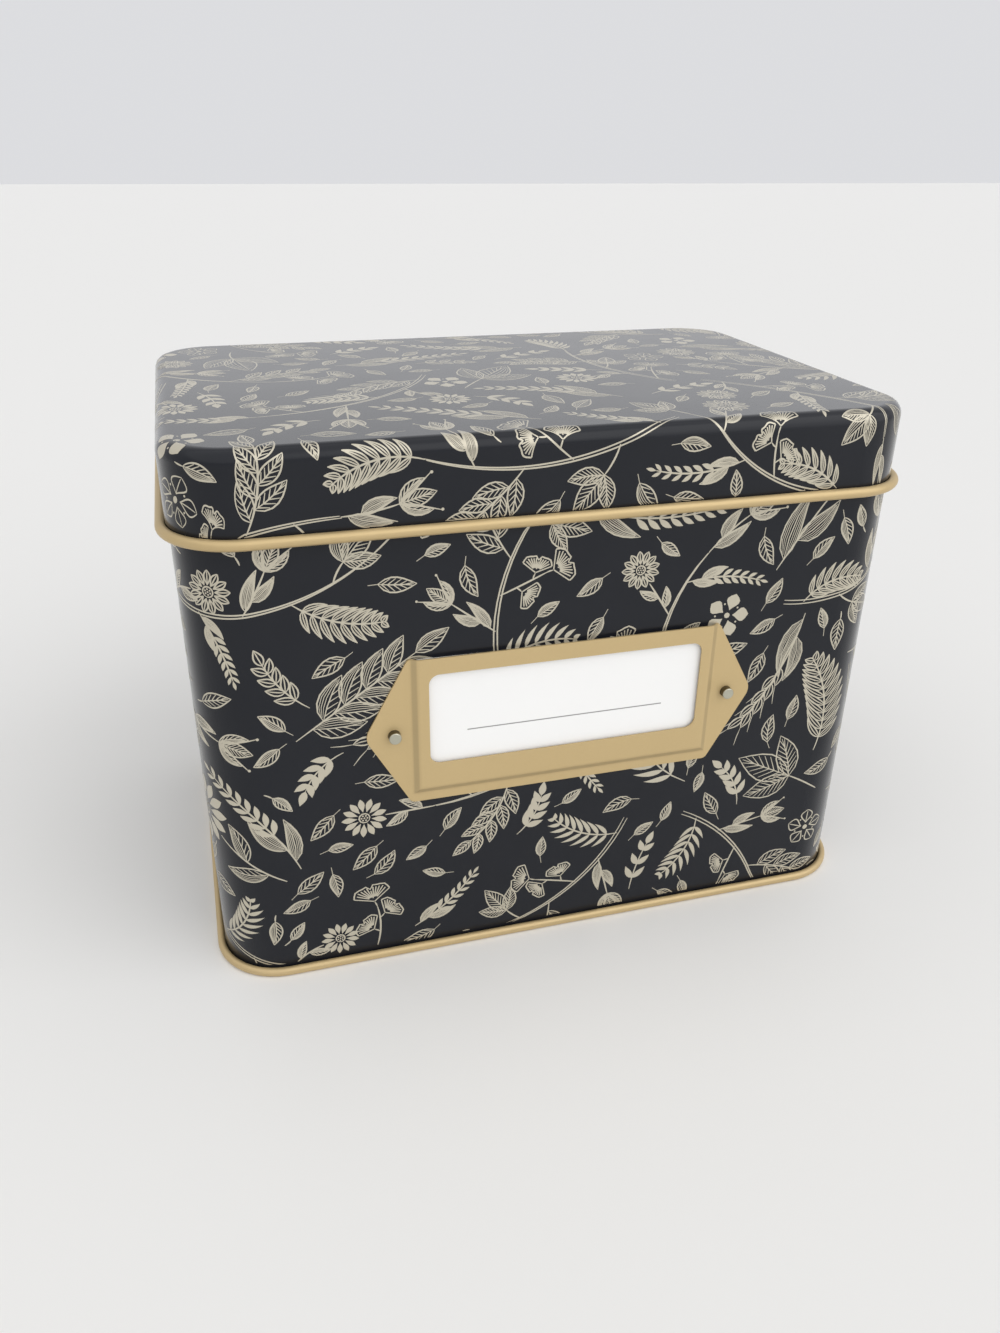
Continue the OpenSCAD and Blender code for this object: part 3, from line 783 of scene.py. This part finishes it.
def grass(page, rng, start=0, heading=0, size=1.0):
    """An ear of awned grains over two blades."""
    along = stem(page, start, heading, rng.uniform(32, 40) * size, rng.uniform(-0.9, 0.9))
    _, side, place, heading = in_turn(along, 0.48, 0.97, 8)
    grain = 5.2 * (0.4 + 0.6 * size)
    page.leaves(place, heading + side * 0.42, grain, grain * 0.42, -side * 0.3, 0.9, "open")
    tip = place + grain * np.exp(1j * (heading + side * 0.27))
    page.line(tip, heading + side * 0.32, grain, side * 0.2, 2, LINE * 0.7)
    place, heading = along([0.05, 0.2])
    page.leaves(place, heading + [0.55, -0.55], [17 * size, 13 * size], 3.4 * size, [-0.9, 0.9], 0.7, "long")


def broad_leaves(page, rng, start=0, heading=0, size=1.0):
    """Three broad leaves from the end of a short stalk."""
    along = stem(page, start, heading, rng.uniform(9, 13) * size, rng.uniform(-0.5, 0.5))
    tip, heading = along(1.0)
    spread = np.array([-0.95, 0.0, 0.95])
    long = np.array([14.0, 18.0, 14.0]) * size
    page.leaves(tip, heading + spread, long, long * 0.46, -0.35 * spread, 0.85, rng.choice(["veined", "shaded"]), 7)


# %% [markdown]
# A bough carries several of them on a hollow stem, which is what ties an all-over drawing together. Sprigs,
# blossoms and loose leaves fill what is left.

# %% A bough, and what fills the gaps


def bough(page, rng):
    """A hollow, bowed stem with twigs to both sides and a head."""
    length, bend = rng.uniform(48, 62), rng.uniform(0.5, 1.4)
    page.line(np.array([-0.5j, 0.5j]), np.array([0.004, -0.004]), length, bend, 12, LINE)
    kinds = rng.permutation([branch, fern, spike, daisy, fan, broad_leaves, lily])
    for kind, t, side in zip(kinds, (0.10, 0.28, 0.46, 0.64, 0.82), (1, -1, 1, -1, 1)):
        place, heading = bow(0, 0, length, bend, np.array(t))
        kind(page, rng, place, heading + side * rng.uniform(0.8, 1.05), rng.uniform(0.5, 0.62))
    kinds[5](page, rng, *bow(0, 0, length, bend, np.array(1.0)), 0.6)


def sprig(page, rng):
    """Small leaves in pairs, and one at the tip."""
    along = stem(page, 0, 0, rng.uniform(12, 18), rng.uniform(-0.9, 0.9), LINE)
    t, side, place, heading = in_pairs(along, 0.25, 0.85, rng.integers(3, 5))
    style = rng.choice(["solid", "solid", "open"])
    page.leaves(place, heading + side * 0.8, 5.2 - 1.6 * t, 1.8, -side * 0.3, style=style)
    page.leaves(*along(1.0), 4.2, 2.0, style=style)


def blossom(page, rng):
    """Five petals round a dot, with a small dot between each two."""
    rays = np.arange(5) / 5 * TURN
    page.leaves(1.4 * np.exp(1j * rays), rays, 4.4, 3.7, blunt=1.35, style=rng.choice(["solid", "open"]))
    page.dots(0, 0.75)
    page.dots(3.2 * np.exp(1j * (rays + TURN / 10)), 0.26)


def loose_leaf(page, rng):
    """One leaf on the end of its stalk."""
    size = rng.uniform(6, 10)
    page.leaves(0, 0, size, size * 0.42, rng.uniform(-0.6, 0.6), style=rng.choice(["veined", "shaded"]))
    page.line(0, np.pi, 2.2, 0.4, 1)


print("makers:", *[maker.__name__ for maker in (branch, fern, daisy, lily, fan, spike, grass, broad_leaves, bough)])

# %% [markdown]
# ## Laying the motifs out
#
# A printer's all-over pattern has no gaps and no overlaps. Motifs are dropped at random places and turns, large
# ones first, and one stays only where no other lies. A map of the sheet in half-millimetre cells remembers what
# is taken, and each motif brings the cells that it covers, grown by the gap that is kept round it.

# %% What a motif covers
CELL = 0.5  # mm, as are the next two
SAMPLE = 0.36  # closer than a cell even after a turn
GAP = 0.6  # grown round every motif, so two lie at least this far apart
ACROSS = 9  # points across a stroke


def left_of(centre):
    """Steps of length 1 to the left of a stroke's heading at each station: a quarter turn is a factor of 1j."""
    along = np.gradient(centre, axis=1)
    return 1j * along / np.maximum(np.abs(along), TINY)


def covered(page):
    """Points SAMPLE apart over all that a motif draws or encloses, grown by GAP."""
    rails = np.linspace(-1, 1, ACROSS)
    points = []
    for centre, half in page.ink + page.enclosed:
        points.append((centre[..., None] + (left_of(centre) * half)[..., None] * rails).ravel())
    grid = np.unique(np.round(np.concatenate(points) / SAMPLE))
    most = math.ceil(GAP / SAMPLE)
    reach = np.arange(-most, most + 1)
    disc = (reach[:, None] + 1j * reach).ravel()
    disc = disc[np.abs(disc) * SAMPLE <= GAP]
    return np.unique(grid[:, None] + disc) * SAMPLE


print("motifs keep", GAP, "mm apart on a map of", CELL, "mm cells")

# %% A sheet that remembers what is taken
EDGE = 60.0  # mm round the sheet for what runs off it
STRETCHED = 1.01  # a stretch over this says that the sheet will be squeezed there
LARGEST_STRETCHED = 9.0  # mm that a motif may reach from its middle at such a place
rng = np.random.default_rng(9338)


class Sheet:
    """A flat sheet, how much room a point has on it before its edge, and which way and how much a small shape is
    stretched at a place."""

    def __init__(self, low, high, room, stretch=lambda place: (1, 1.0)):
        self.low, self.high, self.room, self.stretch = low, high, room, stretch
        size = high - low + EDGE * (2 + 2j)
        self.taken = np.zeros((int(size.real / CELL) + 1, int(size.imag / CELL) + 1), bool)
        self.laid = []

    def lay(self, makers, variants, tries):
        """Tries motifs at random places. Half of them are flipped."""
        library = []
        for maker in makers * variants:
            page = Page()
            maker(page, rng)
            cover = covered(page)
            middle = complex(np.ptp(cover.real) / 2 + cover.real.min(), np.ptp(cover.imag) / 2 + cover.imag.min())
            library.append((page, cover, middle, np.abs(cover - middle).max()))
        before = len(self.laid)
        for _ in range(tries):
            page, cover, middle, reach = library[rng.integers(len(library))]
            size = self.high - self.low
            place = self.low + complex(rng.random() * size.real, rng.random() * size.imag)
            turn, flip = np.exp(1j * rng.uniform(0, TURN)), rng.random() < 0.5
            out, stretch = self.stretch(place)
            if self.room(np.array([place]))[0] < 0 or (stretch > STRETCHED and reach > LARGEST_STRETCHED):
                continue

            def move(shape):
                local = turn * (np.conj(shape - middle) if flip else shape - middle) / out
                return place + (local.real + 1j * local.imag * stretch) * out

            spots = (move(cover) - self.low) / CELL + EDGE / CELL * (1 + 1j)
            cells = spots.real.astype(int), spots.imag.astype(int)
            if not self.taken[cells].any():
                self.taken[cells] = True
                self.laid.extend((move(centre), half) for centre, half in page.ink)
        print("laid", len(self.laid) - before, "groups of strokes from", len(library), "motifs")


ROUNDS = (  # makers, motifs of each, and tries: boughs, then single twigs, then what fits between them
    ([bough], 14, 4000),
    ([branch, fern, daisy, lily, fan, spike, grass, broad_leaves], 4, 14000),
    ([sprig, sprig, blossom, loose_leaf], 4, 26000),
)


def fill(sheet, share=1.0):
    """Lays all rounds, each with its share of the tries."""
    for makers, variants, tries in ROUNDS:
        sheet.lay(makers, variants, int(tries * share))


# %% [markdown]
# ## From the flat sheet to the folded tin
#
# The wall's sheet wraps round the outline. The lid is drawn from a flat sheet: past the top's edge the distance
# from it first goes round the fold and then down the skirt. At the lid's corners drawing squeezes the sheet
# sideways, and printers stretch the artwork there beforehand, which `unsqueezed` does too.

# %% Round the wall
WALL_LOW, WALL_HIGH, SEAM_MARGIN = 2.6, 115.0, 5.0  # the print's foot and top, and its distance from the lock seam
UNBENT = 0.9999  # a normal's larger part, over which the sheet is flat there


def wall_room(flat):
    """How far a place lies inside the wall's print."""
    room = np.minimum(flat.imag - WALL_LOW, WALL_HIGH - flat.imag)
    return np.minimum(room, np.minimum(flat.real - SEAM_MARGIN, wall.length - SEAM_MARGIN - flat.real))


def on_wall(flat, over):
    """Round the outline by the distance along it, and up by the height. What crosses the edge stops at it."""
    point, normal = wall.at(np.clip(flat.real, SEAM_MARGIN, wall.length - SEAM_MARGIN))
    point = point + normal * over[..., None]
    return np.concatenate([point, np.clip(flat.imag, WALL_LOW, WALL_HIGH)[..., None]], -1)


def wall_bends(flat):
    """Whether the wall is rounded at a place."""
    _, normal = wall.at(np.clip(flat.real, 0, wall.length))
    return np.abs(normal).max(-1) < UNBENT


# %% Over the lid's fold and down its skirt
PROUD, TOP_FILM, FILM_TURN = 0.02, 0.25, 0.4  # the film's height, its share on top, the turn over which it grows
SKIRT, SKIRT_AT_LOOPS, LOOPS_REACH = 19.8, 18.4, 54.0  # how far it goes, less as far out as the loops reach
FOLD = EDGE_R * math.pi / 2  # the flat sheet's width that the fold takes
NEAR_FOLD = 0.2  # mm either side of the fold that still count as bent


def pair(flat):
    """Complex places as rows of x and y."""
    return np.stack([flat.real, flat.imag], -1)


def skirt_end(flat):
    """How far down the print goes: less at the back, where the hinge's loops come through the rim."""
    return np.where((np.abs(flat.real) < LOOPS_REACH) & (flat.imag > 0), SKIRT_AT_LOOPS, SKIRT)


def lid_room(flat):
    """How far a place lies inside the lid's print."""
    return skirt_end(flat) - top.nearest(pair(flat))[0]


def on_lid(flat, over):
    """Flat on the top, where the film is thinnest, then round the fold by its angle, and then down the skirt by
    what distance is left."""
    distance, foot, normal = top.nearest(pair(flat))
    past = np.clip(distance, 0, skirt_end(flat))
    angle = np.minimum(past / EDGE_R, math.pi / 2)
    inside = np.minimum(distance, 0)
    over = over * (TOP_FILM + (1 - TOP_FILM) * np.minimum(angle / FILM_TURN, 1))
    out = inside + (EDGE_R + over) * np.sin(angle)
    down = EDGE_R + np.maximum(past - FOLD, 0) - (EDGE_R + over) * np.cos(angle)
    return np.concatenate([foot + normal * out[..., None], (TOP_Z - down)[..., None]], -1)


def lid_bends(flat):
    """Whether a place lies in the fold or in a rounded corner of the skirt."""
    distance, _, normal = top.nearest(pair(flat))
    in_corner = np.abs(normal).max(-1) < UNBENT
    return (distance > -NEAR_FOLD) & ((distance < FOLD + NEAR_FOLD) | in_corner)


def unsqueezed(place):
    """The way out of the skirt's corner, and how much a shape is stretched across it: by the flat radius over the
    drawn one, which is what the corner will squeeze."""
    distance, _, normal = (v[0] for v in top.nearest(pair(np.array([place]))))
    if distance < 0 or np.abs(normal).max() > UNBENT:
        return 1, 1.0
    drawn = top.radius + EDGE_R * math.sin(min(distance / EDGE_R, math.pi / 2))
    return complex(*normal), (top.radius + distance) / drawn


# %% Both sheets, filled
wall_sheet = Sheet(complex(SEAM_MARGIN, WALL_LOW), complex(wall.length - SEAM_MARGIN, WALL_HIGH), wall_room)
reach = top.half + SKIRT
lid_sheet = Sheet(-complex(*reach), complex(*reach), lid_room, unsqueezed)
fill(wall_sheet)
fill(lid_sheet, 0.5)

# %% [markdown]
# ## The film of ink
#
# Ink has no thickness to speak of, so a stroke is a strip of faces that follows the tin about a hundredth of a
# millimetre above it. No two strokes that cross lie at one height, because faces in one plane shade each other.
# A stroke is cut where it leaves the sheet. One that lies on a bend gets stations closer than FOLD_STEP, and a
# wide one is also split across, so that it follows the bend both ways.

# %% Cutting and splitting strokes
SHORTEST = 0.4  # mm of a stroke that is worth keeping


def cut(centre, half, room):
    """Keeps the longest run of each stroke that lies on the sheet, spread over all its stations again. A running
    count of stations on the sheet, less its value where the run began, is the length of the run so far."""
    on = room(centre) > 0
    count = np.cumsum(on, 1)
    run = count - np.maximum.accumulate(np.where(on, 0, count), 1)
    last = run.argmax(1)[:, None]
    first = np.maximum(last - run.max(1)[:, None], 0)
    kept = np.minimum(last + 1, centre.shape[1] - 1)
    at = first + (kept - first) * np.linspace(0, 1, centre.shape[1])
    low = np.minimum(at.astype(int), centre.shape[1] - 2)
    share = at - low
    rows = np.arange(len(centre))[:, None]
    pieces = [v[rows, low] * (1 - share) + v[rows, low + 1] * share for v in (centre, half)]
    long_enough = on.any(1) & (np.abs(np.diff(pieces[0], axis=1)).sum(1) > SHORTEST)
    return [v[long_enough] for v in pieces]


def finer(rows, parts):
    """Stations split into so many parts each, by the straight line between them."""
    at = np.arange((rows.shape[1] - 1) * parts + 1) / parts
    low = np.minimum(at.astype(int), rows.shape[1] - 2)
    return rows[:, low] * (1 - at + low) + rows[:, low + 1] * (at - low)


# %% Strips of faces
WIDE = 0.3  # half width over which a stroke is split across on a bend
FLAT_RAILS, BENT_RAILS = 2, 7  # points across a strip
FINEST = 0.012  # half width of a point, so that no face closes up
FOLD_STEP = 0.5  # farthest that two stations lie apart on a bend
LOWEST = 0.4  # the lowest strip's share of the film's height
GOLDEN = 0.618034  # its multiples, less their whole parts, spread evenly and never repeat


def film(strokes, carry, bends):
    """Vertices, flat places and faces of the strips. Faces are numbered over the grid of stations and rails."""
    points, places, faces, total, strips = [], [], [], 0, 0
    for centre, half in strokes:
        side = left_of(centre)
        bent, wide = bends(centre).any(1), half.max(1) > WIDE
        apart = np.abs(np.diff(centre, axis=1)).max(1)
        kinds = (~bent, False, FLAT_RAILS), (bent & ~wide, True, FLAT_RAILS), (bent & wide, True, BENT_RAILS)
        for rows, folded, rails in kinds:
            if not rows.any():
                continue
            c, s, h = (v[rows] for v in (centre, side, np.maximum(half, FINEST)))
            if folded:
                c, s, h = (finer(v, math.ceil(apart[rows].max() / FOLD_STEP)) for v in (c, s, h))
            else:
                c, s, h = (v[:, ::FINE] for v in (c, s, h))
            flat = c[..., None] + (s * h)[..., None] * np.linspace(-1, 1, rails)
            index = total + np.arange(flat.size).reshape(flat.shape)
            quads = [index[:, :-1, :-1], index[:, 1:, :-1], index[:, 1:, 1:], index[:, :-1, 1:]]
            faces.append(np.stack(quads, -1).reshape(-1, 4))
            over = PROUD * (LOWEST + (1 - LOWEST) * ((strips + np.arange(len(c))) * GOLDEN % 1))
            points.append(carry(flat, over[:, None, None]).reshape(-1, 3))
            places.append(flat.ravel())
            total += flat.size
            strips += len(c)
    return np.concatenate(points), np.concatenate(places), np.concatenate(faces)


print("the film lies", LOWEST * PROUD, "to", PROUD, "mm proud of the wall")

# %% Groups of strokes, and a piece from arrays


def by_count(strokes, room):
    """Strokes with equally many stations as one group each, cut to the sheet."""
    groups = {}
    for centre, half in strokes:
        groups.setdefault(centre.shape[1], []).append((centre, half))
    return [cut(*(np.concatenate(v) for v in zip(*group)), room) for group in groups.values()]


def piece(name, points, flat, faces, material, body):
    """A mesh from arrays, with the flat place of each vertex as its UV, riding on a body."""
    mesh = bpy.data.meshes.new(name)
    mesh.vertices.add(len(points))
    mesh.vertices.foreach_set("co", (points * MM).astype(np.float32).ravel())
    mesh.loops.add(faces.size)
    mesh.loops.foreach_set("vertex_index", faces.astype(np.int32).ravel())
    mesh.polygons.add(len(faces))
    mesh.polygons.foreach_set("loop_start", np.arange(0, faces.size, 4, dtype=np.int32))
    mesh.update(calc_edges=True)
    uv = pair(flat[faces.ravel()])
    uv -= uv.min(0)
    mesh.uv_layers.new(name="OFBake").data.foreach_set("uv", (uv / uv.max()).astype(np.float32).ravel())
    mesh.materials.append(material)
    made = bpy.data.objects.new(name, mesh)
    scene.collection.objects.link(made)
    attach(made, body)
    print(name, len(faces), "faces")
    return made


# %% [markdown]
# The ink is bronze powder in varnish: pale, half metallic, and a little uneven where more powder settled. The
# coat over it shines at a low angle just as it does over the black.

# %% Gold ink
INK, INK_THIN = (0.595, 0.552, 0.445), (0.51, 0.468, 0.37)
INK_VARNISH = 0.75 * VARNISH  # the powder dulls the coat over it
gold_ink = Finish("gold ink", Metallic=0.4, Coat_Roughness=COAT_ROUGHNESS)
facing = gold_ink.add("ShaderNodeLayerWeight", {}, 0.5, out="Facing")
settled, speck = gold_ink.noise(6.0, 3.0), gold_ink.noise(0.3)
gold_ink.drive(
    Base_Color=gold_ink.mix(settled * 0.6 + speck * 0.4, INK_THIN, INK),
    Roughness=0.30 + settled * 0.12,
    Coat_Weight=facing.ramp(*GRAZING) * INK_VARNISH,
).bump(speck * 0.002)
print(gold_ink.material.name, "has", len(gold_ink.tree.nodes), "nodes")

# %% [markdown]
# The print goes on as one piece a side, and as two on the lid. Each stroke goes whole to the piece in which it
# starts, so that none is cut where two pieces meet. The sides meet in the middle of the wall's rounded corners.

# %% The print on the wall's four sides
wall_strokes = by_count(wall_sheet.laid, wall_room)
corner_at = wall.starts[[1, 3, 5, 7]] + math.pi / 4 * wall.radius
for name, low, high in zip(
    ("back_left", "left", "front", "right", "back_right"),
    [-np.inf, *corner_at],
    [*corner_at, np.inf],
):
    chosen = [(low <= centre[:, 0].real) & (centre[:, 0].real < high) for centre, _ in wall_strokes]
    side_strokes = [(c[rows], h[rows]) for (c, h), rows in zip(wall_strokes, chosen) if rows.any()]
    made = piece("print_" + name, *film(side_strokes, on_wall, wall_bends), gold_ink.material, "box")

# %% The print on the lid
lid_strokes = by_count(lid_sheet.laid, lid_room)
for name, first in (("top", True), ("skirt", False)):
    chosen = [(top.nearest(pair(centre[:, 0]))[0] < 0) == first for centre, _ in lid_strokes]
    part = [(c[rows], h[rows]) for (c, h), rows in zip(lid_strokes, chosen) if rows.any()]
    made = piece("print_lid_" + name, *film(part, on_lid, lid_bends), gold_ink.material, "lid")
